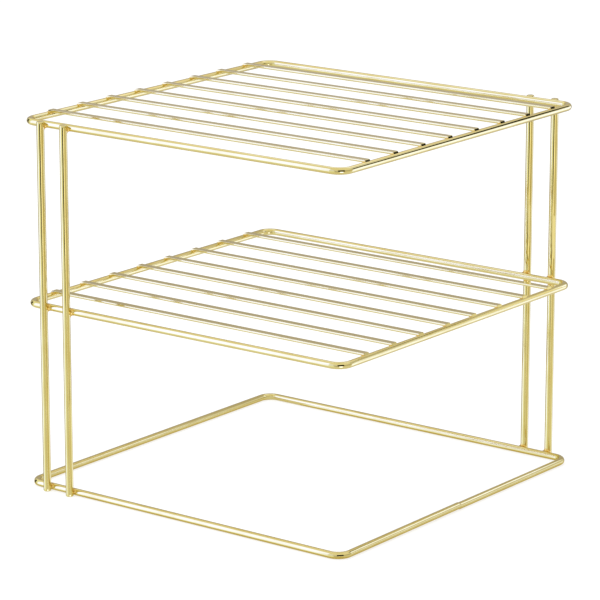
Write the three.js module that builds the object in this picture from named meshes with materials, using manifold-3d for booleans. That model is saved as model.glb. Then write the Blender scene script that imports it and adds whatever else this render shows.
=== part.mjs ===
// Corner storage rack of welded, gold-plated steel wire: two square shelves over an open base ring.
// Millimetres, +Z up. The origin is on the floor under the middle of the rack.
// The cross strips run along X. The left pair of uprights is on the -Y side, the right pair on +Y.

import * as THREE from "three";
import { mergeVertices } from "three/addons/utils/BufferGeometryUtils.js";
import Module from "manifold-3d";

// Drawn round wire
const RING_WIRE_DIAMETER = 4.5;
const UPRIGHT_WIRE_DIAMETER = 5;

// Rolled flat strip with rounded edges
const CROSS_STRIP_WIDTH = 5;
const CROSS_STRIP_THICKNESS = 1.8;
const CROSS_STRIP_EDGE_ROUND = 0.5;

// Rounded-square rings, measured over the outside of the wire
const RING_WIDTH = 254;
const RING_DEPTH = 254;
// Inside radius of the corner bends
const BEND_RADIUS = 6;

// Rise from the base ring to each shelf ring, centre line to centre line
const MIDDLE_RING_RISE = 119.5;
const TOP_RING_RISE = 238.3;

// Cross strips of each shelf, spread evenly between the first and the last
const CROSS_STRIP_COUNT = 8;
// Outside of the ring to the middle of the first and the last strip
const CROSS_STRIP_INSET = 27;
// How far a cross strip's underside reaches past the ring's centre line at each end
const CROSS_STRIP_OVERRUN = 1;
// How far the cut of each end leans back from the underside to the top
const CROSS_STRIP_END_LEAN = 1;

// Outside of the ring to the axis of the outer upright, and on to the inner one
const UPRIGHT_INSET = 19;
const UPRIGHT_PITCH = 19;

// Deburred wire ends
const UPRIGHT_END_ROUND = 0.8;

// Each weld presses the other wire or strip into the ring by the set-down.
// The ring holds its bed, which is wider by the clearance all round.
const WELD_SET_DOWN = 0.6;
const BED_CLEARANCE = 0.3;

// Butt weld that closes the base ring: its ends stand a little out of line
const BUTT_WELD_STEP = 0.35;
const BUTT_WELD_LENGTH = 0.6;

// Fineness of the facets
const WIRE_SIDES = 16;
const BEND_STEPS = 8;
const END_STEPS = 2;
const EDGE_STEPS = 3;

// Sizes that follow
const ringRadius = RING_WIRE_DIAMETER / 2;
const uprightRadius = UPRIGHT_WIRE_DIAMETER / 2;
const halfWidth = RING_WIDTH / 2 - ringRadius;
const halfDepth = RING_DEPTH / 2 - ringRadius;
const centreBend = BEND_RADIUS + ringRadius;
const crossStripLift = ringRadius + CROSS_STRIP_THICKNESS / 2 - WELD_SET_DOWN;
const crossStripLength = 2 * (halfWidth + CROSS_STRIP_OVERRUN);
const uprightOffset = ringRadius + uprightRadius - WELD_SET_DOWN;
const uprightHeight = RING_WIRE_DIAMETER + TOP_RING_RISE;

const wasm = await Module();
wasm.setup();

// Gold-coloured plating, one material for each length of wire or strip
function plating() {
  return new THREE.MeshStandardMaterial({ color: 0xd9c27a, roughness: 0.18, metalness: 1 });
}

// Corner distance of the wire's section, whose flats lie on the true radius
function sectionRadius(radius) {
  return radius / Math.cos(Math.PI / WIRE_SIDES);
}

// Straight length of wire along Z, centred on the origin, with rounded ends
function straightWire(radius, length, endRound) {
  const corner = sectionRadius(radius);
  const profile = [new THREE.Vector2(0, -length / 2)];
  for (const end of [-1, 1]) {
    for (let step = 0; step <= END_STEPS; step += 1) {
      const turn = (end < 0 ? step : END_STEPS - step) / END_STEPS;
      const angle = (turn * Math.PI) / 2;
      const across = corner - endRound + endRound * Math.sin(angle);
      const along = length / 2 - endRound + endRound * Math.cos(angle);
      profile.push(new THREE.Vector2(across, end * along));
    }
  }
  profile.push(new THREE.Vector2(0, length / 2));
  const wire = new THREE.LatheGeometry(profile, WIRE_SIDES, Math.PI / WIRE_SIDES);
  return wire.rotateX(Math.PI / 2);
}

// Outline of the strip's section, with its four rounded edges, grown by a margin
function stripOutline(margin) {
  const across = CROSS_STRIP_WIDTH / 2 + margin - CROSS_STRIP_EDGE_ROUND;
  const up = CROSS_STRIP_THICKNESS / 2 + margin - CROSS_STRIP_EDGE_ROUND;
  const outline = [];
  for (let edge = 0; edge < 4; edge += 1) {
    const right = edge === 0 || edge === 3 ? 1 : -1;
    const top = edge < 2 ? 1 : -1;
    for (let step = 0; step <= EDGE_STEPS; step += 1) {
      const angle = ((edge + step / EDGE_STEPS) * Math.PI) / 2;
      const x = right * across + CROSS_STRIP_EDGE_ROUND * Math.cos(angle);
      const y = top * up + CROSS_STRIP_EDGE_ROUND * Math.sin(angle);
      outline.push(new THREE.Vector2(x, y));
    }
  }
  return new THREE.Shape(outline);
}

// Flat strip along X, centred on the origin, with ends cut to lean back towards the top
function flatStrip(margin) {
  const length = crossStripLength + 2 * margin;
  const strip = new THREE.ExtrudeGeometry(stripOutline(margin), { depth: length, bevelEnabled: false });
  strip.translate(0, 0, -length / 2).rotateX(Math.PI / 2).rotateZ(Math.PI / 2);
  const places = strip.attributes.position;
  for (let i = 0; i < places.count; i += 1) {
    const rise = places.getZ(i) / CROSS_STRIP_THICKNESS + 0.5;
    places.setX(i, places.getX(i) - Math.sign(places.getX(i)) * rise * CROSS_STRIP_END_LEAN);
  }
  strip.computeVertexNormals();
  return strip;
}

// Sections along the ring's centre line: a bend at each corner and straight sides between them
function ringStations() {
  const stations = [];
  for (let corner = 0; corner < 4; corner += 1) {
    const right = corner === 0 || corner === 3 ? 1 : -1;
    const back = corner < 2 ? 1 : -1;
    const bend = new THREE.Vector3(right * (halfWidth - centreBend), back * (halfDepth - centreBend), 0);
    for (let step = 0; step <= BEND_STEPS; step += 1) {
      const angle = ((corner + step / BEND_STEPS) * Math.PI) / 2;
      const outward = new THREE.Vector3(Math.cos(angle), Math.sin(angle), 0);
      stations.push({ point: bend.clone().addScaledVector(outward, centreBend), outward });
    }
  }
  return stations;
}

// The two wire ends at the middle of the +X side, one raised above the other
function buttWeldStations() {
  const outward = new THREE.Vector3(1, 0, 0);
  const raised = new THREE.Vector3(halfWidth, -BUTT_WELD_LENGTH / 2, BUTT_WELD_STEP);
  const level = new THREE.Vector3(halfWidth, BUTT_WELD_LENGTH / 2, 0);
  return [
    { point: raised, outward },
    { point: level, outward },
  ];
}

// Wire swept round a closed run of stations
function closedWire(stations, radius) {
  const corner = sectionRadius(radius);
  const positions = [];
  for (const { point, outward } of stations) {
    for (let side = 0; side < WIRE_SIDES; side += 1) {
      const angle = ((side + 0.5) / WIRE_SIDES) * 2 * Math.PI;
      const place = point.clone().addScaledVector(outward, corner * Math.cos(angle));
      positions.push(place.x, place.y, place.z + corner * Math.sin(angle));
    }
  }
  const triangles = [];
  for (let here = 0; here < stations.length; here += 1) {
    const next = (here + 1) % stations.length;
    for (let side = 0; side < WIRE_SIDES; side += 1) {
      const above = (side + 1) % WIRE_SIDES;
      const [a, b] = [here * WIRE_SIDES + side, next * WIRE_SIDES + side];
      const [c, d] = [next * WIRE_SIDES + above, here * WIRE_SIDES + above];
      triangles.push(a, b, c, a, c, d);
    }
  }
  return meshGeometry(positions, triangles);
}

function meshGeometry(positions, triangles) {
  const geometry = new THREE.BufferGeometry();
  geometry.setAttribute("position", new THREE.Float32BufferAttribute(positions, 3));
  geometry.setIndex(triangles);
  geometry.computeVertexNormals();
  return geometry;
}

// Closed solid of a geometry, with its seams merged and its collapsed triangles dropped
function solidOf(geometry) {
  const bare = geometry.clone();
  bare.deleteAttribute("normal");
  bare.deleteAttribute("uv");
  const merged = mergeVertices(bare);
  const index = merged.index.array;
  const triVerts = [];
  for (let i = 0; i < index.length; i += 3) {
    const [a, b, c] = [index[i], index[i + 1], index[i + 2]];
    if (a !== b && b !== c && c !== a) {
      triVerts.push(a, b, c);
    }
  }
  const vertProperties = new Float32Array(merged.attributes.position.array);
  return new wasm.Manifold(
    new wasm.Mesh({ numProp: 3, vertProperties, triVerts: new Uint32Array(triVerts) }),
  );
}

// Ring with the beds that its welds press into it
function ringWithBeds(stations, beds) {
  let solid = solidOf(closedWire(stations, ringRadius));
  for (const bed of beds) {
    solid = solid.subtract(solidOf(bed));
  }
  const { vertProperties, triVerts } = solid.getMesh();
  return meshGeometry(vertProperties, Array.from(triVerts));
}

// Where the cross strips lie across a shelf, from the front-left side to the back-right side
function crossStripPlaces() {
  const first = -RING_DEPTH / 2 + CROSS_STRIP_INSET;
  const pitch = (-2 * first) / (CROSS_STRIP_COUNT - 1);
  return Array.from({ length: CROSS_STRIP_COUNT }, (_, index) => first + index * pitch);
}

// Where the uprights stand: the right pair is the left pair turned half round
function uprightPlaces() {
  const outer = RING_WIDTH / 2 - UPRIGHT_INSET;
  const inner = outer - UPRIGHT_PITCH;
  const aside = halfDepth + uprightOffset;
  return [
    { name: "left_outer_upright", x: -outer, y: -aside },
    { name: "left_inner_upright", x: -inner, y: -aside },
    { name: "right_inner_upright", x: inner, y: aside },
    { name: "right_outer_upright", x: outer, y: aside },
  ];
}

// Beds of the uprights in one ring, as lengths of wire that run past it above and below
function uprightBeds() {
  const length = 4 * RING_WIRE_DIAMETER;
  return uprightPlaces().map(({ x, y }) =>
    straightWire(uprightRadius + BED_CLEARANCE, length, UPRIGHT_END_ROUND).translate(x, y, 0),
  );
}

// Beds of the cross strips in a shelf ring
function crossStripBeds() {
  return crossStripPlaces().map((y) => flatStrip(BED_CLEARANCE).translate(0, y, crossStripLift));
}

function named(name, geometry) {
  const mesh = new THREE.Mesh(geometry, plating());
  mesh.name = name;
  return mesh;
}

// One shelf, built on its ring's own plane and lifted to its height
function shelf(name, rise) {
  const group = new THREE.Group();
  const beds = [...uprightBeds(), ...crossStripBeds()];
  group.add(named(`${name}_ring`, ringWithBeds(ringStations(), beds)));
  crossStripPlaces().forEach((y, index) => {
    const strip = named(`${name}_cross_strip_${index + 1}`, flatStrip(0));
    strip.position.set(0, y, crossStripLift);
    group.add(strip);
  });
  group.position.z = ringRadius + rise;
  return group;
}

function baseRing() {
  const stations = [...ringStations(), ...buttWeldStations()];
  const ring = named("base_ring", ringWithBeds(stations, uprightBeds()));
  ring.position.z = ringRadius;
  return ring;
}

function uprights() {
  const group = new THREE.Group();
  for (const { name, x, y } of uprightPlaces()) {
    const upright = named(name, straightWire(uprightRadius, uprightHeight, UPRIGHT_END_ROUND));
    upright.position.set(x, y, uprightHeight / 2);
    group.add(upright);
  }
  return group;
}

const rack = new THREE.Group();
rack.add(baseRing());
rack.add(shelf("middle", MIDDLE_RING_RISE));
rack.add(shelf("top", TOP_RING_RISE));
rack.add(uprights());

export default rack;
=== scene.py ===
"""Corner storage rack of gold-plated steel wire and strip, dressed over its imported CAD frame."""
from __future__ import annotations

import logging
import math
import random
from dataclasses import dataclass
from enum import Enum
from typing import Any, ClassVar, Sequence
import bmesh
import bpy
import numpy as np
from bpy.types import Material, Node, NodeSocket, NodeTree, Object, World
from mathutils import Matrix, Vector


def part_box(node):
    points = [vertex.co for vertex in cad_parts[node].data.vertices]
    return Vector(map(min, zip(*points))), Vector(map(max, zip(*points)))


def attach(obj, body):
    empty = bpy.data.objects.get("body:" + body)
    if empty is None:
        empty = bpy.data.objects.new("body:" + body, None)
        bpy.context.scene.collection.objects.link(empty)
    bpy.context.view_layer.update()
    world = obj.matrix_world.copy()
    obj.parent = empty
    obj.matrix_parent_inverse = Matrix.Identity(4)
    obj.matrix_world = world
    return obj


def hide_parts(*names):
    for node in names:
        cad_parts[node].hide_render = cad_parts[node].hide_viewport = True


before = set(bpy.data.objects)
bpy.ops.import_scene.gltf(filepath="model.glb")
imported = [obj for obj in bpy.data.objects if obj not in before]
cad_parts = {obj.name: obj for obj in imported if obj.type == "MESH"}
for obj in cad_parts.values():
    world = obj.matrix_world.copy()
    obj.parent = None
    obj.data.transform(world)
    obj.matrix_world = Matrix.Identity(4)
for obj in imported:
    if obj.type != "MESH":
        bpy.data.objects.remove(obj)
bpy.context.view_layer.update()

LOG = logging.getLogger("corner_rack")

MM = 0.001
UV_NAME = "length_and_girth"
ROOT_BODY = "root"
STRIP_COUNT = 8
WHITE = "#FFFFFF"
SQUARE = ((-1.0, -1.0), (1.0, -1.0), (1.0, 1.0), (-1.0, 1.0))
UP = Vector((0.0, 0.0, 1.0))

# Two heights on the backdrop, and the two levels that it has there.
Grade = tuple[tuple[float, float], tuple[float, float]]

# Stations at a butt weld, the reach they clear and the groove's, in half lengths of the seam.
SEAM_STATIONS = np.array([-4.0, -1.0, -0.3, 0.3, 1.0, 4.0])
SEAM_CLEARANCE = 5.0
SEAM_GROOVE = 0.4

# How far past the ring's middle line a bead runs before its free end.
STRIP_BEAD_REACH = 0.7 * MM
UPRIGHT_BEAD_REACH = 1.5 * MM


class Shelf(Enum):
    """The two shelves, by the word that starts their nodes' names."""

    MIDDLE = "middle"
    TOP = "top"


class Side(Enum):
    """The two sides of a shelf on which its strips end, by the sign of X."""

    LEFT = -1
    RIGHT = 1


class Ring(Enum):
    """The three rings from the floor up."""

    BASE = "base_ring"
    MIDDLE = "middle_ring"
    TOP = "top_ring"


class Upright(Enum):
    """The four uprights, left pair first."""

    LEFT_OUTER = "left_outer_upright"
    LEFT_INNER = "left_inner_upright"
    RIGHT_INNER = "right_inner_upright"
    RIGHT_OUTER = "right_outer_upright"


def linear_colour(hex_code: str) -> tuple[float, float, float, float]:
    """Turns an sRGB hex colour into the linear values that Blender's sockets take.

    Args:
        hex_code: Six hex digits, with or without a leading hash.

    Returns:
        Linear red, green and blue, and full alpha.
    """
    digits = hex_code.lstrip("#")
    channels = []
    for start in (0, 2, 4):
        level = int(digits[start:start + 2], 16) / 255.0
        channels.append(level / 12.92 if level <= 0.04045 else ((level + 0.055) / 1.055) ** 2.4)
    return channels[0], channels[1], channels[2], 1.0


def add_node(
    tree: NodeTree,
    kind: str,
    settings: dict[str, Any] | None = None,
    inputs: dict[str | int, Any] | None = None,
) -> Node:
    """Adds a shader node, sets its properties, and sets or links its inputs.

    Args:
        tree: The node tree that gets the node.
        kind: Blender's name for the node.
        settings: Properties of the node and their values.
        inputs: Inputs by name or number; an output socket is linked, anything else is set.

    Returns:
        The new node.
    """
    node = tree.nodes.new(kind)
    for name, value in (settings or {}).items():
        setattr(node, name, value)
    for name, value in (inputs or {}).items():
        if isinstance(value, NodeSocket):
            tree.links.new(value, node.inputs[name])
        else:
            node.inputs[name].default_value = value
    return node


def empty_material(name: str) -> Material:
    """Makes a material with an empty node tree.

    Args:
        name: The material's name.

    Returns:
        The new material.
    """
    material = bpy.data.materials.new(name)
    material.use_nodes = True
    material.node_tree.nodes.clear()
    return material


def combine(tree: NodeTree, kind: str, operation: str, *values: Any) -> Node:
    """Adds a Math or a VectorMath node and gives it its values in order."""
    return add_node(tree, f"ShaderNode{kind}", {"operation": operation}, dict(enumerate(values)))


def mix_colours(tree: NodeTree, share: Any, first: Any, second: Any) -> NodeSocket:
    """Mixes two colours, with the second one's share."""
    inputs = {0: share, 6: first, 7: second}
    return add_node(tree, "ShaderNodeMix", {"data_type": "RGBA"}, inputs).outputs[2]


def remap(
    tree: NodeTree,
    value: NodeSocket,
    ends: Sequence[float],
    levels: Sequence[float] = (0.0, 1.0),
    soft: bool = False,
) -> NodeSocket:
    """Maps a value between two ends to a level, which holds beyond them.

    Args:
        tree: The node tree.
        value: The value.
        ends: Values that get the first and the second level.
        levels: The two levels.
        soft: True eases into both ends.

    Returns:
        The level.
    """
    span = {"From Min": ends[0], "From Max": ends[1], "To Min": levels[0], "To Max": levels[1]}
    kind = {"interpolation_type": "SMOOTHSTEP" if soft else "LINEAR"}
    return add_node(tree, "ShaderNodeMapRange", kind, {"Value": value, **span}).outputs[0]


def add_glow(tree: NodeTree, colour: Any, strength: Any) -> None:
    """Ends a material's tree in a glow, whose colour and strength may be sockets."""
    glow = add_node(tree, "ShaderNodeEmission", None, {"Color": colour, "Strength": strength})
    add_node(tree, "ShaderNodeOutputMaterial", None, {"Surface": glow.outputs[0]})


def flat_object(
    name: str, points: Sequence[Any], faces: Sequence[Any], paper: Material,
) -> Object:
    """Makes an object of flat faces, not yet linked to the scene.

    Args:
        name: The object's name.
        points: Corners of the faces.
        faces: Corner numbers of each face.
        paper: The material.

    Returns:
        The object.
    """
    mesh = bpy.data.meshes.new(name)
    mesh.from_pydata(points, [], faces)
    mesh.materials.append(paper)
    return bpy.data.objects.new(name, mesh)


@dataclass(frozen=True)
class PlatedFinish:
    """Bright gold plating on cold-drawn or rolled steel.

    The eye sees a mirror skin that takes its light and dark bands from the room, warm where it
    reflects itself, with faint lines along the piece from the die or the rolls and a slow ripple
    from straightening.
    """

    name: str
    bright: str
    deep: str
    roughness: float
    roughness_spread: float
    tone_size: float
    line_pitch: float
    line_length: float
    line_depth: float
    ripple_length: float
    ripple_depth: float
    grain_size: float = 0.9 * MM
    grain_depth: float = 0.0
    tone_range: tuple[float, float] = (0.35, 0.68)
    line_range: tuple[float, float] = (0.3, 0.7)
    ripple_narrowing: float = 0.5

    def material(self) -> Material:
        """Builds the finish as a procedural metal.

        Returns:
            The new material.
        """
        made = empty_material(self.name)
        tree = made.node_tree
        place = add_node(tree, "ShaderNodeTexCoord").outputs["Object"]
        skin = add_node(tree, "ShaderNodeUVMap", {"uv_map": UV_NAME}).outputs["UV"]
        tone = add_node(
            tree, "ShaderNodeTexNoise", None,
            {"Vector": place, "Scale": 1.0 / self.tone_size, "Detail": 3.0, "Roughness": 0.55},
        )
        deeper = remap(tree, tone.outputs[0], self.tone_range)
        colour = mix_colours(tree, deeper, linear_colour(self.bright), linear_colour(self.deep))
        line_scale = (1.0 / self.line_length, 1.0 / self.line_pitch, 0.0)
        line_place = combine(tree, "VectorMath", "MULTIPLY", skin, line_scale)
        # Real draw lines are under 0.1 mm apart, so they are drawn wider to show in the render.
        lines = add_node(
            tree, "ShaderNodeTexNoise", {"noise_dimensions": "2D"},
            {"Vector": line_place.outputs[0], "Scale": 1.0, "Detail": 2.0, "Roughness": 0.5},
        )
        hazes = (self.roughness - self.roughness_spread, self.roughness + self.roughness_spread)
        haze = remap(tree, lines.outputs[0], self.line_range, hazes)
        ripple_width = self.ripple_narrowing * self.ripple_length
        ripple_scale = (1.0 / self.ripple_length, 1.0 / ripple_width, 0.0)
        ripple_place = combine(tree, "VectorMath", "MULTIPLY", skin, ripple_scale)
        ripple = add_node(
            tree, "ShaderNodeTexNoise", {"noise_dimensions": "2D"},
            {"Vector": ripple_place.outputs[0], "Scale": 1.0, "Detail": 1.0},
        )
        grain = add_node(
            tree, "ShaderNodeTexNoise", None,
            {"Vector": place, "Scale": 1.0 / self.grain_size, "Detail": 2.0},
        )
        normal: dict[str, Any] = {}
        for height, depth in (
            (ripple, self.ripple_depth), (lines, self.line_depth), (grain, self.grain_depth),
        ):
            bump = add_node(
                tree, "ShaderNodeBump", None,
                {"Strength": 1.0, "Distance": depth, "Height": height.outputs[0], **normal},
            )
            normal = {"Normal": bump.outputs[0]}
        metal = add_node(
            tree, "ShaderNodeBsdfPrincipled", None,
            {"Base Color": colour, "Metallic": 1.0, "Roughness": haze, **normal},
        )
        add_node(tree, "ShaderNodeOutputMaterial", None, {"Surface": metal.outputs[0]})
        return made


# Drawn wire is the brightest: a clear mirror with fine lines along it.
DRAWN_WIRE = PlatedFinish(
    name="gold_plated_drawn_steel_wire",
    bright="#E6D68E",
    deep="#DFCC7E",
    roughness=0.075,
    roughness_spread=0.03,
    tone_size=22.0 * MM,
    line_pitch=0.45 * MM,
    line_length=38.0 * MM,
    line_depth=0.006 * MM,
    ripple_length=30.0 * MM,
    ripple_depth=0.12 * MM,
)

# Rolled strip is a little hazier and paler than the wire.
ROLLED_STRIP = PlatedFinish(
    name="gold_plated_rolled_steel_strip",
    bright="#E6D690",
    deep="#DFCD82",
    roughness=0.10,
    roughness_spread=0.04,
    tone_size=18.0 * MM,
    line_pitch=0.5 * MM,
    line_length=45.0 * MM,
    line_depth=0.006 * MM,
    ripple_length=34.0 * MM,
    ripple_depth=0.10 * MM,
)

# Squeezed-out weld metal plates over less brightly, so it is duller and a little grainy; its deeper, more
# orange gold is painted shade and painted warm reflection from the crease it fills.
WELD_FLASH_WITH_CREASE_SHADE = PlatedFinish(
    name="gold_plated_weld_flash_with_painted_crease_shade",
    bright="#EBCB6E",
    deep="#DDAE4C",
    roughness=0.22,
    roughness_spread=0.05,
    tone_size=1.8 * MM,
    line_pitch=0.8 * MM,
    line_length=1.6 * MM,
    line_depth=0.010 * MM,
    ripple_length=2.4 * MM,
    ripple_depth=0.06 * MM,
    grain_size=0.6 * MM,
    grain_depth=0.012 * MM,
)


@dataclass(frozen=True)
class RoundSection:
    """Cross-section of a round wire."""

    radius: float

    def outline(self, fineness: int = 10) -> np.ndarray:
        """Gives points and outward normals round the wire.

        Args:
            fineness: Sides per quarter turn.

        Returns:
            Rows of across, up, normal across and normal up.
        """
        turn = np.linspace(0.0, 2.0 * math.pi, 4 * fineness, endpoint=False)
        normals = np.column_stack([np.cos(turn), np.sin(turn)])
        return np.hstack([self.radius * normals, normals])


@dataclass(frozen=True)
class FlatSection:
    """Cross-section of a slit flat strip, crisp along the top and rolled over along the underside."""

    width: float
    thickness: float
    top_round: float
    under_round: float
    edge_share: float = 0.03
    flat_share: float = 0.1

    def outline(self, fineness: int = 6) -> np.ndarray:
        """Gives points and outward normals round the strip.

        Args:
            fineness: Steps round each edge, and along each flat.

        Returns:
            Rows of across, up, normal across and normal up.
        """
        signs = np.array([(1, 1), (-1, 1), (-1, -1), (1, -1)])
        rounds = (self.top_round, self.top_round, self.under_round, self.under_round)
        half = np.array([self.width / 2, self.thickness / 2])
        centres = [sign * (half - edge) for sign, edge in zip(signs, rounds)]
        # Close points by each edge keep the flats flat under smooth shading.
        inner = np.linspace(self.flat_share, 1.0 - self.flat_share, fineness)
        shares = np.concatenate([[self.edge_share], inner, [1.0 - self.edge_share]])
        rows = []
        for quarter in range(4):
            for step in range(fineness + 1):
                angle = (quarter + step / fineness) * math.pi / 2
                normal = np.array([math.cos(angle), math.sin(angle)])
                rows.append(np.concatenate([centres[quarter] + rounds[quarter] * normal, normal]))
            flat_from = rows[-1]
            following = (quarter + 1) % 4
            flat_to = centres[following] + rounds[following] * flat_from[2:]
            for share in shares:
                point = flat_from[:2] * (1.0 - share) + flat_to * share
                rows.append(np.concatenate([point, flat_from[2:]]))
        return np.array(rows)


Section = RoundSection | FlatSection


class MeshMaker:
    """Collects closed lofted skins and turns them into one mesh object."""

    def __init__(self, name: str) -> None:
        """Starts an empty mesh under the given name."""
        self.name = name
        self.points: list[np.ndarray] = []
        self.faces: list[list[int]] = []
        self.face_uvs: list[list[tuple[float, float]]] = []
        self.creases: set[tuple[int, int]] = set()

    def loft(self, sections: Sequence[np.ndarray], closed: bool, creases: Sequence[int] = ()) -> None:
        """Adds one closed skin through a run of sections.

        Args:
            sections: Arrays of points in order along the run, all with the same count.
            closed: True joins the last section to the first; otherwise both ends are capped.
            creases: Columns of the sections whose edges along the run stay sharp.
        """
        base = len(self.points)
        count = len(sections)
        girth = len(sections[0])
        middles = np.array([section.mean(axis=0) for section in sections])
        along = [0.0]
        for index in range(1, count + 1):
            along.append(along[-1] + float(np.linalg.norm(middles[index % count] - middles[index - 1])))
        widest = sections[count // 2]
        around = [0.0]
        for column in range(1, girth + 1):
            around.append(around[-1] + float(np.linalg.norm(widest[column % girth] - widest[column - 1])))
        for section in sections:
            self.points.extend(section)
        for row in range(count if closed else count - 1):
            following = (row + 1) % count
            for column in range(girth):
                beside = (column + 1) % girth
                self.faces.append([
                    base + row * girth + column,
                    base + row * girth + beside,
                    base + following * girth + beside,
                    base + following * girth + column,
                ])
                self.face_uvs.append([
                    (along[row], around[column]),
                    (along[row], around[column + 1]),
                    (along[row + 1], around[column + 1]),
                    (along[row + 1], around[column]),
                ])
            for column in creases:
                self.creases.add((base + row * girth + column, base + following * girth + column))
        if closed:
            return
        for row in (0, count - 1):
            rim = [base + row * girth + column for column in range(girth)]
            self.faces.append(rim)
            self.face_uvs.append([(along[row], around[column]) for column in range(girth)])
            for column in range(girth):
                self.creases.add((rim[column], rim[(column + 1) % girth]))

    def build(self, finish: Material) -> Object:
        """Makes the mesh object and links it to the scene.

        Args:
            finish: The material of the whole piece.

        Returns:
            The new object.
        """
        mesh = bpy.data.meshes.new(self.name)
        mesh.from_pydata([tuple(point) for point in self.points], [], self.faces)
        layer = mesh.uv_layers.new(name=UV_NAME)
        corner = 0
        for uvs in self.face_uvs:
            for uv in uvs:
                layer.data[corner].uv = uv
                corner += 1
        sharp = {(min(pair), max(pair)) for pair in self.creases}
        for edge in mesh.edges:
            first, second = edge.vertices
            edge.use_edge_sharp = (min(first, second), max(first, second)) in sharp
        solid = bmesh.new()
        solid.from_mesh(mesh)
        bmesh.ops.recalc_face_normals(solid, faces=solid.faces)
        for face in solid.faces:
            face.smooth = True
        solid.to_mesh(mesh)
        solid.free()
        mesh.materials.append(finish)
        piece = bpy.data.objects.new(self.name, mesh)
        bpy.context.collection.objects.link(piece)
        return piece


def stand_in(
    node: str, sections: Sequence[np.ndarray], closed: bool, finish: Material,
) -> Object:
    """Builds a lofted piece and stands it in for its CAD node.

    Args:
        node: The CAD node's name.
        sections: Arrays of points in order along the piece.
        closed: True joins the last section to the first.
        finish: The material of the whole piece.

    Returns:
        The piece.
    """
    maker = MeshMaker(f"plated_{node}")
    maker.loft(sections, closed)
    piece = maker.build(finish)
    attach(piece, ROOT_BODY)
    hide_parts(node)
    return piece


def cut_end(round_off: float, steps: int = 4) -> list[tuple[float, float]]:
    """Gives the rounded rim of a cut end.

    Args:
        round_off: Radius of the rim.
        steps: Steps round the rim.

    Returns:
        Pairs of distance from the cut and inset of the section, from the cut inwards.
    """
    pairs = []
    for step in range(steps + 1):
        angle = step / steps * math.pi / 2
        pairs.append((round_off * (1.0 - math.cos(angle)), round_off * (1.0 - math.sin(angle))))
    return pairs


def place_section(
    rows: np.ndarray, inset: float, centre: np.ndarray, across: np.ndarray, up: np.ndarray,
) -> np.ndarray:
    """Stands a cross-section in space.

    Args:
        rows: Outline rows of a section.
        inset: How far the outline is drawn in.
        centre: Where the section's middle goes.
        across: Direction of the section's first axis.
        up: Direction of the section's second axis.

    Returns:
        The section's points.
    """
    flat = rows[:, :2] - inset * rows[:, 2:]
    return centre + np.outer(flat[:, 0], across) + np.outer(flat[:, 1], up)


@dataclass
class WireRing:
    """A round wire bent to a rounded square and butt-welded into a ring."""

    ring: Ring
    wire: RoundSection = RoundSection(2.25 * MM)
    bend_radius: float = 8.25 * MM
    butt_step: float = 0.0
    butt_length: float = 0.6 * MM
    butt_groove: float = 0.06 * MM
    bend_steps: int = 20
    side_step: float = 6.0 * MM

    def half_size(self) -> float:
        """Half the side of the ring's centre line."""
        low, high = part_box(self.ring.value)
        return (high[0] - low[0]) / 2 - self.wire.radius

    def level(self) -> float:
        """Height of the ring's centre line."""
        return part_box(self.ring.value)[0][2] + self.wire.radius

    def side_places(self, reach: float) -> np.ndarray:
        """Places along one straight side, closer together at a butt weld.

        Args:
            reach: Half the straight side's length.

        Returns:
            Distances from the side's middle, without its two ends.
        """
        count = max(2, round(2 * reach / self.side_step))
        places = np.linspace(-reach, reach, count + 1)[1:-1]
        if self.butt_step == 0.0:
            return places
        half = self.butt_length / 2
        away = places[np.abs(places) > SEAM_CLEARANCE * half]
        return np.sort(np.concatenate([away, half * SEAM_STATIONS]))

    def rise(self, place: float, reach: float) -> float:
        """How far the welded end stands up at a place on the seam's side.

        Args:
            place: Distance from the side's middle.
            reach: Half the straight side's length.

        Returns:
            Height above the ring's level.
        """
        half = self.butt_length / 2
        if place <= -half:
            return self.butt_step * (place + reach) / (reach - half)
        if place < half:
            return self.butt_step * (half - place) / self.butt_length
        return 0.0

    def sections(self) -> list[np.ndarray]:
        """Gives the wire's sections round the ring.

        Returns:
            Arrays of points in order round the ring.
        """
        reach = self.half_size() - self.bend_radius
        level = self.level()
        rows = self.wire.outline()
        up = np.array([0.0, 0.0, 1.0])
        runs = []
        for quarter in range(4):
            facing = quarter * math.pi / 2
            outward = np.array([math.cos(facing), math.sin(facing), 0.0])
            onward = np.array([-outward[1], outward[0], 0.0])
            for place in self.side_places(reach):
                lift = self.rise(place, reach) if quarter == 0 and self.butt_step else 0.0
                at_seam = abs(place) < SEAM_GROOVE * self.butt_length / 2
                groove = self.butt_groove if lift and at_seam else 0.0
                centre = outward * self.half_size() + onward * place + up * (level + lift)
                runs.append(place_section(rows, groove, centre, outward, up))
            corner = (outward + onward) * reach + up * level
            for step in range(self.bend_steps + 1):
                angle = facing + step / self.bend_steps * math.pi / 2
                turned = np.array([math.cos(angle), math.sin(angle), 0.0])
                runs.append(place_section(rows, 0.0, corner + turned * self.bend_radius, turned, up))
        return runs

    def build(self, finish: Material) -> Object:
        """Builds the ring and stands it in for its CAD node."""
        return stand_in(self.ring.value, self.sections(), True, finish)


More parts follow.
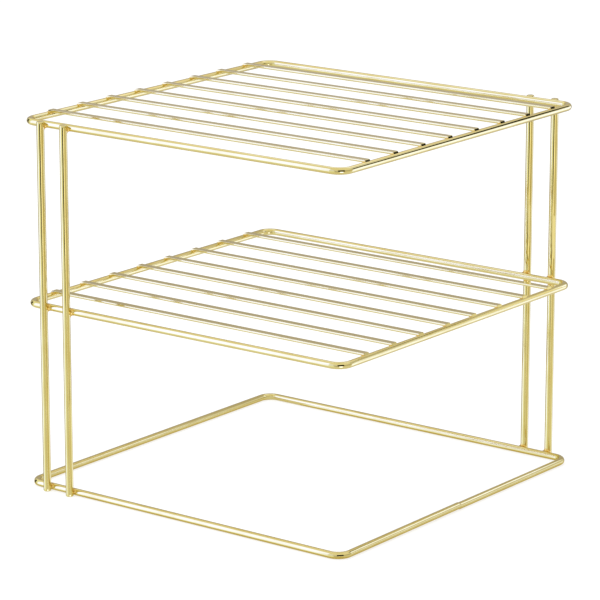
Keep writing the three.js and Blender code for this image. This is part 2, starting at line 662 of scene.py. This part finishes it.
@dataclass
class ShelfStrips:
    """The row of flat strips welded across one shelf's ring."""

    shelf: Shelf
    strip: FlatSection = FlatSection(5.0 * MM, 1.8 * MM, 0.2 * MM, 1.0 * MM)
    end_lean: float = 1.0 * MM
    end_round: float = 0.2 * MM
    end_length: float = 4.0 * MM
    rim_backing: float = 1.5
    station_step: float = 10.0 * MM

    def node(self, number: int) -> str:
        """Name of a strip's CAD node."""
        return f"{self.shelf.value}_cross_strip_{number}"

    def sections(self, number: int) -> list[np.ndarray]:
        """Gives a strip's sections from end to end.

        Args:
            number: Which strip, from 1 at the front left.

        Returns:
            Arrays of points in order along the strip.
        """
        low, high = (np.array(corner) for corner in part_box(self.node(number)))
        middle = (low + high) / 2
        half = (high[0] - low[0]) / 2
        rows = self.strip.outline()
        across = np.array([0.0, 1.0, 0.0])
        up = np.array([0.0, 0.0, 1.0])
        # A station close behind the rim keeps the strip's flats flat right up to the cut.
        rim_steps = cut_end(self.end_round) + [(self.rim_backing * self.end_round, 0.0)]
        stations = []
        for side in Side:
            rim = []
            for setback, inset in rim_steps:
                centre = middle + np.array([side.value * (half - setback), 0.0, 0.0])
                section = place_section(rows, inset, centre, across, up)
                share_up = (section[:, 2] - low[2]) / self.strip.thickness
                section[:, 0] -= side.value * self.end_lean * share_up
                rim.append(section)
            stations.append(rim)
        inner = half - self.end_length
        count = round(2 * inner / self.station_step)
        body = [
            place_section(rows, 0.0, middle + np.array([place, 0.0, 0.0]), across, up)
            for place in np.linspace(-inner, inner, count + 1)
        ]
        return stations[0] + body + stations[1][::-1]

    def build(self, finish: Material) -> list[Object]:
        """Builds the strips in order and stands them in for their CAD nodes."""
        return [
            stand_in(self.node(number), self.sections(number), False, finish)
            for number in range(1, STRIP_COUNT + 1)
        ]


@dataclass
class UprightWires:
    """The four straight wires that carry the rings."""

    wire: RoundSection = RoundSection(2.5 * MM)
    end_round: float = 0.8 * MM
    end_length: float = 2.0 * MM
    rim_steps: int = 6
    station_step: float = 10.0 * MM

    def sections(self, upright: Upright) -> list[np.ndarray]:
        """Gives an upright's sections from foot to top.

        Args:
            upright: Which upright.

        Returns:
            Arrays of points in order up the wire.
        """
        low, high = (np.array(corner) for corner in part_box(upright.value))
        middle = (low + high) / 2
        rows = self.wire.outline()
        rim = cut_end(self.end_round, self.rim_steps)
        count = round((high[2] - low[2]) / self.station_step)
        heights = np.linspace(low[2] + self.end_length, high[2] - self.end_length, count + 1)
        stations = [(low[2] + setback, inset) for setback, inset in rim]
        stations += [(height, 0.0) for height in heights]
        stations += [(high[2] - setback, inset) for setback, inset in reversed(rim)]
        across = np.array([1.0, 0.0, 0.0])
        onward = np.array([0.0, 1.0, 0.0])
        return [
            place_section(rows, inset, np.array([middle[0], middle[1], height]), across, onward)
            for height, inset in stations
        ]

    def build(self, finish: Material) -> list[Object]:
        """Builds the uprights in order and stands them in for their CAD nodes."""
        return [
            stand_in(upright.value, self.sections(upright), False, finish)
            for upright in Upright
        ]


@dataclass(frozen=True)
class Crossing:
    """A place where a strip or an upright is welded across a ring wire."""

    centre: np.ndarray
    member_axis: np.ndarray
    ring_axis: np.ndarray
    outward: np.ndarray
    section: Section
    lift: float
    ring_radius: float
    free_end: float | None
    taper: float = 1.5
    end_size: float = 0.1
    root_share: float = 1.12
    root_limit: float = 3.0
    widest_cosine: float = 0.999
    path_fineness: int = 180

    def ball_path(self, ball: float) -> np.ndarray:
        """Follows a ball that rolls in the crease between the ring and the other piece.

        Args:
            ball: The ball's radius.

        Returns:
            Rows of the ball's centre along, across and out, and its touch on the other piece.
        """
        rows = self.section.outline(self.path_fineness)
        reach = self.ring_radius + ball
        start = int(np.argmax(rows[:, 1]))
        rows = np.roll(rows, -start, axis=0)
        out = self.lift + rows[:, 1] + ball * rows[:, 3]
        kept = rows[np.abs(out) < reach]
        out = self.lift + kept[:, 1] + ball * kept[:, 3]
        across = kept[:, 0] + ball * kept[:, 2]
        along = np.sqrt(reach ** 2 - out ** 2)
        touch = np.column_stack([kept[:, 0], self.lift + kept[:, 1]])
        inner = np.column_stack([-along, across, out, touch])
        outer = np.column_stack([along, across, out, touch])[::-1]
        if self.free_end is None:
            return np.vstack([inner, outer, inner[:1]])
        inside = outer[:, 0] < self.free_end
        half = len(outer) // 2
        after = outer[:half][inside[:half]]
        before = outer[half:][inside[half:]]
        return np.vstack([before, inner, after])

    def bead(self, ball: float, stations: int, arc_steps: int) -> list[np.ndarray]:
        """Gives the sections of the weld bead along its crease.

        Args:
            ball: Radius of the bead's hollow face.
            stations: How many sections to give.
            arc_steps: Steps across the hollow face.

        Returns:
            Arrays of points in order along the bead; the last point of each is buried.
        """
        path = self.ball_path(ball)
        steps = np.linalg.norm(np.diff(path[:, :3], axis=0), axis=1)
        run = np.concatenate([[0.0], np.cumsum(steps)])
        closed = self.free_end is None
        marks = np.linspace(0.0, run[-1], stations, endpoint=not closed)
        even = np.column_stack([np.interp(marks, run, path[:, column]) for column in range(5)])
        axes = np.array([self.member_axis, self.ring_axis, self.outward])
        fade = np.ones(len(marks))
        if not closed:
            share = np.clip(np.minimum(marks, run[-1] - marks) / (self.taper * ball), 0.0, 1.0)
            fade = self.end_size + (1.0 - self.end_size) * share * share * (3.0 - 2.0 * share)
        sections = []
        for (along, across, out, touch_across, touch_out), size in zip(even, fade):
            middle = np.array([along, across, out])
            to_ring = -ball * np.array([along, 0.0, out]) / (self.ring_radius + ball)
            to_member = np.array([0.0, touch_across - across, touch_out - out])
            cosine = to_ring @ to_member / ball ** 2
            spread = float(np.clip(cosine, -self.widest_cosine, self.widest_cosine))
            angle = math.acos(spread)
            points = []
            for step in range(arc_steps + 1):
                share = step / arc_steps
                swing = math.sin((1.0 - share) * angle) * to_ring + math.sin(share * angle) * to_member
                points.append(middle + swing / math.sin(angle))
            depth = min(self.root_limit, self.root_share / (1.0 + spread))
            root = middle + depth * (to_ring + to_member)
            points.append(root)
            # A free end sinks into the crease.
            sections.append(self.centre + (root + size * (np.array(points) - root)) @ axes)
        return sections


@dataclass
class CrossingWelds:
    """The beads of weld metal at the crossings of one group of wires."""

    name: str
    slot: str
    ball: float
    ball_spread: float
    crossings: list[Crossing]
    stations: int
    seed: int
    arc_steps: int = 8

    def build(self, finish: Material) -> Object:
        """Builds the group's beads as one piece.

        Args:
            finish: The weld metal's material.

        Returns:
            The beads.
        """
        chance = random.Random(self.seed)
        maker = MeshMaker(self.name)
        for crossing in self.crossings:
            ball = self.ball * (1.0 + self.ball_spread * chance.uniform(-1.0, 1.0))
            sections = crossing.bead(ball, self.stations, self.arc_steps)
            maker.loft(sections, crossing.free_end is None, creases=(0, self.arc_steps))
        piece = maker.build(finish)
        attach(piece, ROOT_BODY)
        return piece


def strip_crossings(ring: WireRing, strips: ShelfStrips) -> list[Crossing]:
    """Lists where a shelf's strips cross its ring.

    Args:
        ring: The shelf's ring.
        strips: The shelf's strips.

    Returns:
        Two crossings for each strip.
    """
    crossings = []
    for number in range(1, STRIP_COUNT + 1):
        low, high = (np.array(corner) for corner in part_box(strips.node(number)))
        middle = (low + high) / 2
        for side in Side:
            crossings.append(Crossing(
                centre=np.array([side.value * ring.half_size(), middle[1], ring.level()]),
                member_axis=np.array([float(side.value), 0.0, 0.0]),
                ring_axis=np.array([0.0, 1.0, 0.0]),
                outward=np.array([0.0, 0.0, 1.0]),
                section=strips.strip,
                lift=middle[2] - ring.level(),
                ring_radius=ring.wire.radius,
                free_end=STRIP_BEAD_REACH,
            ))
    return crossings


def upright_crossings(rings: Sequence[WireRing], uprights: UprightWires) -> list[Crossing]:
    """Lists where the uprights cross the rings.

    Args:
        rings: The rings from the floor up.
        uprights: The uprights.

    Returns:
        One crossing for each upright and ring.
    """
    crossings = []
    for upright in Upright:
        low, high = (np.array(corner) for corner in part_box(upright.value))
        middle = (low + high) / 2
        facing = math.copysign(1.0, middle[1])
        for ring in rings:
            downward = ring.ring is Ring.BASE
            crossings.append(Crossing(
                centre=np.array([middle[0], facing * ring.half_size(), ring.level()]),
                member_axis=np.array([0.0, 0.0, -1.0 if downward else 1.0]),
                ring_axis=np.array([1.0, 0.0, 0.0]),
                outward=np.array([0.0, facing, 0.0]),
                section=uprights.wire,
                lift=abs(middle[1]) - ring.half_size(),
                ring_radius=ring.wire.radius,
                free_end=None if ring.ring is Ring.MIDDLE else UPRIGHT_BEAD_REACH,
            ))
    return crossings


@dataclass(frozen=True)
class Card:
    """A card that stands near the rack and shows only in its reflections.

    Its level may change along its width, to the second level at the end left of its facing.
    """

    name: str
    centre: Vector
    facing: Vector
    width: float
    height: float
    level: float
    tint: str = WHITE
    left_level: float | None = None

    def build(self) -> Object:
        """Stands the card up on edge, facing the rack.

        Returns:
            The card.
        """
        left = Vector((-self.facing.y, self.facing.x, 0.0)).normalized()
        beside = left * (self.width / 2)
        up = UP * (self.height / 2)
        corners = [
            self.centre - beside - up,
            self.centre + beside - up,
            self.centre + beside + up,
            self.centre - beside + up,
        ]
        made = empty_material(f"{self.name}_paper")
        tree = made.node_tree
        strength: Any = self.level
        if self.left_level is not None:
            spot = add_node(tree, "ShaderNodeTexCoord").outputs["Object"]
            place = combine(tree, "VectorMath", "DOT_PRODUCT", spot, tuple(left))
            middle = self.centre.dot(left)
            ends = (middle - self.width / 2, middle + self.width / 2)
            strength = remap(tree, place.outputs["Value"], ends, (self.level, self.left_level))
        add_glow(tree, linear_colour(self.tint), strength)
        points = [tuple(corner) for corner in corners]
        return stand_in_reflections(flat_object(self.name, points, [(0, 1, 2, 3)], made))


def stand_in_reflections(card: Object) -> Object:
    """Links a card to the scene so that only the plating sees it.

    Args:
        card: The card.

    Returns:
        The same card.
    """
    card.visible_camera = False
    card.visible_diffuse = False
    card.visible_shadow = False
    bpy.context.collection.objects.link(card)
    return card


@dataclass(frozen=True)
class RoomPatch:
    """A soft-edged patch of light or shade in what the plating reflects of the room.

    The bearing is in degrees to the right of the camera, seen from the rack. Each pair of angles
    is where an edge of the patch starts and where it is full.
    """

    bearing: float
    width: tuple[float, float]
    below: tuple[float, float]
    above: tuple[float, float]
    level: float
    tint: str = WHITE

    def light(self) -> tuple[float, float, float, float]:
        """Linear colour of the patch at its level."""
        red, green, blue, alpha = linear_colour(self.tint)
        return self.level * red, self.level * green, self.level * blue, alpha


@dataclass(frozen=True)
class BendSpot:
    """A dark spot that a small card close by draws on one bend of every ring.

    The bearing is where the card stands, in degrees to the right of the camera; the other angles
    are what it fills to each side, and up from level.
    """

    name: str
    side: Side
    bearing: float
    half_width: float
    below: float
    above: float
    level: float


@dataclass
class Studio:
    """White floor, soft light, a room that the plating reflects, and the camera."""

    rings: Sequence[WireRing]
    camera_azimuth: float = 37.32362
    camera_elevation: float = 14.64407
    camera_distance: float = 2.157978
    camera_target: tuple[float, float, float] = (-0.000195, -0.001718, 0.117725)
    lens: float = 200.2954
    sensor: float = 36.0
    clip_end: float = 100.0
    floor_half: float = 7.0
    floor_white: float = 0.70
    floor_grey: float = 0.36
    below_level: float = 0.84
    wall_level: float = 0.50
    overhead_level: float = 0.95
    wall_ends: tuple[float, float] = (0.22, 0.56)
    ground_ends: tuple[float, float] = (0.06, -0.04)
    backdrop_bearings: range = range(128, 217, 4)
    backdrop_radius: float = 0.65
    backdrop_closing: float = 0.15
    backdrop_foot: float = -0.16
    backdrop_top: float = 1.3
    backdrop_tint: str = "#FFF9F8"
    lower_grade: Grade = ((0.27, 0.50), (0.505, 0.59))
    upper_grade: Grade = ((0.50, 0.78), (0.0, 0.52))
    near_lamp_grade: Grade = ((0.72, 0.92), (0.0, 1.05))
    near_lamp_tint: str = "#BFCBFF"
    lamp_size: float = 1.4
    lamp_energy: float = 9.0
    lamp_bearing: float = -80.0
    lamp_away: float = 0.6
    lamp_height: float = 1.6
    contact_middle: float = 124.75 * MM
    contact_half: float = 3.5 * MM
    contact_level: float = 0.66
    contact_tint: str = "#FFF0B8"
    near_floor_width: float = 25.0 * MM
    near_floor_level: float = 0.80
    near_floor_front: float = 10.0 * MM
    side_middle: ClassVar[Vector] = Vector((0.125, 0.0, 0.0))
    side_away: ClassVar[Vector] = Vector((0.6, 0.8, 0.0))
    side_across: ClassVar[Vector] = Vector((0.8, -0.6, 0.0))
    spot_distance: float = 20.0 * MM
    spots: tuple[BendSpot, ...] = (
        BendSpot("front_spot_card", Side.RIGHT, 14.0, 28.0, -10.0, 36.0, 0.0),
        BendSpot("left_spot_card", Side.LEFT, -128.0, 13.0, -11.0, 31.0, 0.08),
    )
    patches: tuple[RoomPatch, ...] = (
        RoomPatch(-85.0, (66.0, 38.0), (-44.0, -26.0), (46.0, 37.0), 1.13, "#F3FDFF"),
        RoomPatch(-50.0, (32.0, 16.0), (-9.0, -4.0), (40.0, 32.0), 1.7, "#C3CDFF"),
        RoomPatch(60.0, (80.0, 55.0), (-27.0, -22.0), (6.0, 0.0), 0.87, "#FFFDEF"),
        RoomPatch(58.0, (48.0, 22.0), (-16.5, -14.0), (6.0, 0.0), 0.72, "#FFF7DF"),
        RoomPatch(-3.0, (32.0, 18.0), (-27.0, -22.0), (-5.0, -9.0), 0.77),
        RoomPatch(122.0, (32.0, 20.0), (0.0, 6.0), (44.0, 36.0), 1.0, "#E6EAFF"),
        RoomPatch(107.0, (14.0, 7.0), (-36.0, -26.0), (5.0, -1.0), 2.75, "#B9C4FF"),
        RoomPatch(-16.0, (26.0, 15.0), (-8.0, -4.0), (36.0, 28.0), 1.0, "#E6EAFF"),
        RoomPatch(-130.0, (22.0, 12.0), (-30.0, -24.0), (-2.0, -8.0), 0.42),
        RoomPatch(16.0, (14.0, 7.0), (-46.0, -38.0), (-19.5, -22.0), 6.0, "#AFBAFF"),
        RoomPatch(-84.0, (17.0, 10.0), (-22.0, -15.5), (47.0, 40.0), 3.9, "#9EABFF"),
        RoomPatch(-14.0, (19.0, 12.0), (-15.5, -13.0), (-5.0, -9.0), 0.03),
        RoomPatch(12.0, (12.0, 7.0), (-15.5, -13.5), (-8.0, -10.5), 1.6),
    )

    def heading(self, bearing: float) -> Vector:
        """Level direction at a bearing to the right of the camera's, seen from the rack."""
        turn = math.radians(self.camera_azimuth + bearing)
        return Vector((math.sin(turn), -math.cos(turn), 0.0))

    def build_camera(self) -> Object:
        """Makes the camera at the photograph's angle.

        Returns:
            The camera.
        """
        data = bpy.data.cameras.new("rack_camera")
        data.sensor_fit = "HORIZONTAL"
        data.sensor_width = self.sensor
        data.lens = self.lens
        data.clip_end = self.clip_end
        rise = math.radians(self.camera_elevation)
        back = self.heading(0.0) * math.cos(rise) + UP * math.sin(rise)
        right = UP.cross(back).normalized()
        up = back.cross(right)
        place = Vector(self.camera_target) + back * self.camera_distance
        camera = bpy.data.objects.new("rack_camera", data)
        turned = Matrix((right, up, back)).transposed().to_4x4()
        camera.matrix_world = Matrix.Translation(place) @ turned
        bpy.context.collection.objects.link(camera)
        bpy.context.scene.camera = camera
        return camera

    def build_floor(self) -> Object:
        """Lays white seamless paper: white to the eye, with a little of the light to take a shadow.

        Returns:
            The floor.
        """
        made = empty_material("white_seamless_paper")
        tree = made.node_tree
        path = add_node(tree, "ShaderNodeLightPath")
        rays = (path.outputs["Is Camera Ray"], path.outputs["Is Transmission Ray"])
        straight = combine(tree, "Math", "MAXIMUM", *rays)
        level = combine(tree, "Math", "MULTIPLY", straight.outputs[0], self.floor_white)
        glow = add_node(
            tree, "ShaderNodeEmission", None,
            {"Color": linear_colour(WHITE), "Strength": level.outputs[0]},
        )
        paper = add_node(
            tree, "ShaderNodeBsdfDiffuse", None,
            {"Color": (self.floor_grey, self.floor_grey, self.floor_grey, 1.0)},
        )
        both = add_node(tree, "ShaderNodeAddShader", None, {0: glow.outputs[0], 1: paper.outputs[0]})
        add_node(tree, "ShaderNodeOutputMaterial", None, {"Surface": both.outputs[0]})
        corners = [(x * self.floor_half, y * self.floor_half, 0.0) for x, y in SQUARE]
        floor = flat_object("white_floor", corners, [(0, 1, 2, 3)], made)
        # The plating sees the pale lower half of the room where the floor lies.
        floor.visible_glossy = False
        bpy.context.collection.objects.link(floor)
        return floor

    def build_backdrop(self) -> Object:
        """Bends a grey backdrop round the back of the rack, paler towards its top.

        Returns:
            The backdrop.
        """
        made = empty_material("grey_backdrop_paper")
        tree = made.node_tree
        place = add_node(tree, "ShaderNodeTexCoord").outputs["Object"]
        height = add_node(tree, "ShaderNodeSeparateXYZ", None, {0: place}).outputs["Z"]
        lower = remap(tree, height, *self.lower_grade)
        upper = remap(tree, height, *self.upper_grade)
        near_lamp = remap(tree, height, *self.near_lamp_grade)
        level = combine(tree, "Math", "ADD", lower, upper)
        lit = combine(tree, "Math", "ADD", level.outputs[0], near_lamp)
        tints = (linear_colour(self.backdrop_tint), linear_colour(self.near_lamp_tint))
        add_glow(tree, mix_colours(tree, near_lamp, *tints), lit.outputs[0])
        points = []
        start = self.backdrop_bearings[0]
        for bearing in self.backdrop_bearings:
            radius = self.backdrop_radius - self.backdrop_closing * (bearing - start) / start
            foot = self.heading(bearing) * radius
            points += [(foot.x, foot.y, self.backdrop_foot), (foot.x, foot.y, self.backdrop_top)]
        faces = [(first, first + 2, first + 3, first + 1) for first in range(0, len(points) - 2, 2)]
        return stand_in_reflections(flat_object("grey_backdrop", points, faces, made))

    def off_side(self, out: float, shift: float, height: float) -> Vector:
        """Place so far off the rack's right-hand side, across towards the front, and up."""
        return self.side_middle + self.side_away * out + self.side_across * shift + UP * height

    def build_cards(self) -> list[Object]:
        """Stands the cards that draw dark and pale lines on the plating.

        Returns:
            The cards.
        """
        cards = [
            Card(
                "right_line_card", self.off_side(out=0.25, shift=-0.012, height=0.344), self.side_away,
                width=0.25, height=0.090, level=0.02,
            ),
            Card(
                "right_pale_card", self.off_side(out=0.35, shift=-0.06, height=0.228), self.side_away,
                width=0.30, height=0.10, level=3.35, tint="#B0BCFF",
            ),
            Card(
                "middle_near_card", Vector((0.142, 0.02, 0.143)), Vector((1.0, 0.0, 0.0)),
                width=0.24, height=0.029, level=0.62, left_level=1.15,
            ),
        ]
        for ring in self.rings:
            cards += [self.spot_card(ring, spot) for spot in self.spots]
        return [card.build() for card in cards]

    def spot_card(self, ring: WireRing, spot: BendSpot) -> Card:
        """Works out where the card for a dark spot stands.

        Args:
            ring: The ring whose bend takes the spot.
            spot: The spot.

        Returns:
            The card.
        """
        inner = ring.half_size() - ring.bend_radius
        corner = Vector((spot.side.value * inner, -inner, ring.level()))
        skin = corner + self.heading(spot.bearing / 2) * (ring.bend_radius + ring.wire.radius)
        low = self.spot_distance * math.tan(math.radians(spot.below))
        high = self.spot_distance * math.tan(math.radians(spot.above))
        away = self.heading(spot.bearing)
        centre = skin + away * self.spot_distance + UP * ((low + high) / 2)
        width = 2 * self.spot_distance * math.tan(math.radians(spot.half_width))
        return Card(f"{ring.ring.value}_{spot.name}", centre, away, width, high - low, spot.level)

    def build_contact_shade(self) -> Object:
        """Lays the gold-tinged shade that the base ring reflects from the floor under it.

        Returns:
            The shade.
        """
        made = empty_material("gold_tinged_shade")
        add_glow(made.node_tree, linear_colour(self.contact_tint), self.contact_level)
        points = []
        for reach in (self.contact_middle - self.contact_half, self.contact_middle + self.contact_half):
            points += [(x * reach, y * reach, 0.0) for x, y in SQUARE]
        faces = [(side, (side + 1) % 4, 4 + (side + 1) % 4, 4 + side) for side in range(4)]
        return stand_in_reflections(flat_object("contact_shade", points, faces, made))

    def build_near_floor(self) -> Object:
        """Lays the floor that the base ring's right-hand sides reflect close by.

        Returns:
            The stretches of floor.
        """
        made = empty_material("near_floor_paper")
        add_glow(made.node_tree, linear_colour(WHITE), self.near_floor_level)
        points = []
        start = self.contact_middle + self.contact_half
        for low in (start, start - 2 * self.contact_middle):
            high = low + self.near_floor_width
            near = -start - (self.near_floor_front if low > 0.0 else 0.0)
            points += [(low, near, 0.0), (high, near, 0.0), (high, start, 0.0), (low, start, 0.0)]
        faces = [(0, 1, 2, 3), (4, 5, 6, 7)]
        return stand_in_reflections(flat_object("near_floor", points, faces, made))

    def build_lamp(self) -> Object:
        """Hangs the soft lamp that gives the floor its shadow.

        Returns:
            The lamp.
        """
        data = bpy.data.lights.new("overhead_softbox", "AREA")
        data.shape = "RECTANGLE"
        data.size = self.lamp_size
        data.size_y = self.lamp_size
        data.energy = self.lamp_energy
        lamp = bpy.data.objects.new("overhead_softbox", data)
        place = self.heading(self.lamp_bearing) * self.lamp_away + UP * self.lamp_height
        turned = place.to_track_quat("Z", "Y").to_matrix().to_4x4()
        lamp.matrix_world = Matrix.Translation(place) @ turned
        lamp.visible_camera = False
        lamp.visible_glossy = False
        bpy.context.collection.objects.link(lamp)
        return lamp

    def patch_level(
        self, tree: NodeTree, toward: NodeSocket, patch: RoomPatch, so_far: NodeSocket,
    ) -> NodeSocket:
        """Lays a patch over the room's level.

        Args:
            tree: The world's node tree.
            toward: Direction of the ray.
            patch: The patch.
            so_far: The level without the patch.

        Returns:
            The level with the patch.
        """
        level_way = combine(tree, "VectorMath", "MULTIPLY", toward, (1.0, 1.0, 0.0))
        unit_way = combine(tree, "VectorMath", "NORMALIZE", level_way.outputs[0])
        facing = tuple(self.heading(patch.bearing))
        turn = combine(tree, "VectorMath", "DOT_PRODUCT", unit_way.outputs[0], facing)
        height = add_node(tree, "ShaderNodeSeparateXYZ", None, {0: toward}).outputs["Z"]
        edges = (
            (turn.outputs["Value"], [math.cos(math.radians(angle)) for angle in patch.width]),
            (height, [math.sin(math.radians(angle)) for angle in patch.below]),
            (height, [math.sin(math.radians(angle)) for angle in patch.above]),
        )
        share: Any = 1.0
        for value, ends in edges:
            edge = remap(tree, value, ends, soft=True)
            share = combine(tree, "Math", "MULTIPLY", edge, share).outputs[0]
        return mix_colours(tree, share, so_far, patch.light())

    def build_world(self) -> World:
        """Makes the room: white to the eye; pale below, grey walls and pale overhead in reflections.

        Returns:
            The world.
        """
        world = bpy.data.worlds.new("studio_room")
        world.use_nodes = True
        tree = world.node_tree
        tree.nodes.clear()
        path = add_node(tree, "ShaderNodeLightPath")
        toward = add_node(tree, "ShaderNodeTexCoord").outputs["Generated"]
        height = add_node(tree, "ShaderNodeSeparateXYZ", None, {0: toward}).outputs["Z"]
        wall_levels = (self.wall_level, self.overhead_level)
        walls = remap(tree, height, self.wall_ends, wall_levels, soft=True)
        ground = remap(tree, height, self.ground_ends, soft=True)
        room = add_node(
            tree, "ShaderNodeMix", {"data_type": "FLOAT"}, {0: ground, 2: walls, 3: self.below_level},
        ).outputs[0]
        for patch in self.patches:
            room = self.patch_level(tree, toward, patch, room)
        seen = mix_colours(tree, path.outputs["Is Glossy Ray"], linear_colour(WHITE), room)
        light = add_node(tree, "ShaderNodeBackground", None, {"Color": seen, "Strength": 1.0})
        add_node(tree, "ShaderNodeOutputWorld", None, {"Surface": light.outputs[0]})
        bpy.context.scene.world = world
        return world

    def build(self) -> None:
        """Sets up the room, its light, the camera and the view."""
        self.build_camera()
        self.build_floor()
        self.build_backdrop()
        self.build_cards()
        self.build_contact_shade()
        self.build_near_floor()
        self.build_lamp()
        self.build_world()
        bpy.context.scene.view_settings.view_transform = "Standard"


def report(pieces: Sequence[Object]) -> None:
    """Logs the pieces that were built."""
    for piece in pieces:
        LOG.info("built %s, %d faces", piece.name, len(piece.data.polygons))


def main() -> None:
    """Builds the rack piece by piece, then the studio round it."""
    logging.basicConfig(level=logging.INFO, format="%(message)s")
    wire = DRAWN_WIRE.material()
    strip = ROLLED_STRIP.material()
    flash = WELD_FLASH_WITH_CREASE_SHADE.material()
    rings = [WireRing(Ring.BASE, butt_step=0.35 * MM), WireRing(Ring.MIDDLE), WireRing(Ring.TOP)]
    report([ring.build(wire) for ring in rings])
    uprights = UprightWires()
    report(uprights.build(wire))
    for ring, shelf in ((rings[1], Shelf.MIDDLE), (rings[2], Shelf.TOP)):
        strips = ShelfStrips(shelf)
        report(strips.build(strip))
        welds = CrossingWelds(
            name=f"{shelf.value}_shelf_welds", slot="cross_strip",
            crossings=strip_crossings(ring, strips),
            ball=0.5 * MM, ball_spread=0.25, stations=52, seed=20,
        )
        report([welds.build(flash)])
    welds = CrossingWelds(
        name="upright_welds", slot="upright_wire",
        crossings=upright_crossings(rings, uprights),
        ball=1.6 * MM, ball_spread=0.15, stations=64, seed=7,
    )
    report([welds.build(flash)])
    Studio(rings).build()


if __name__ == "__main__":
    main()
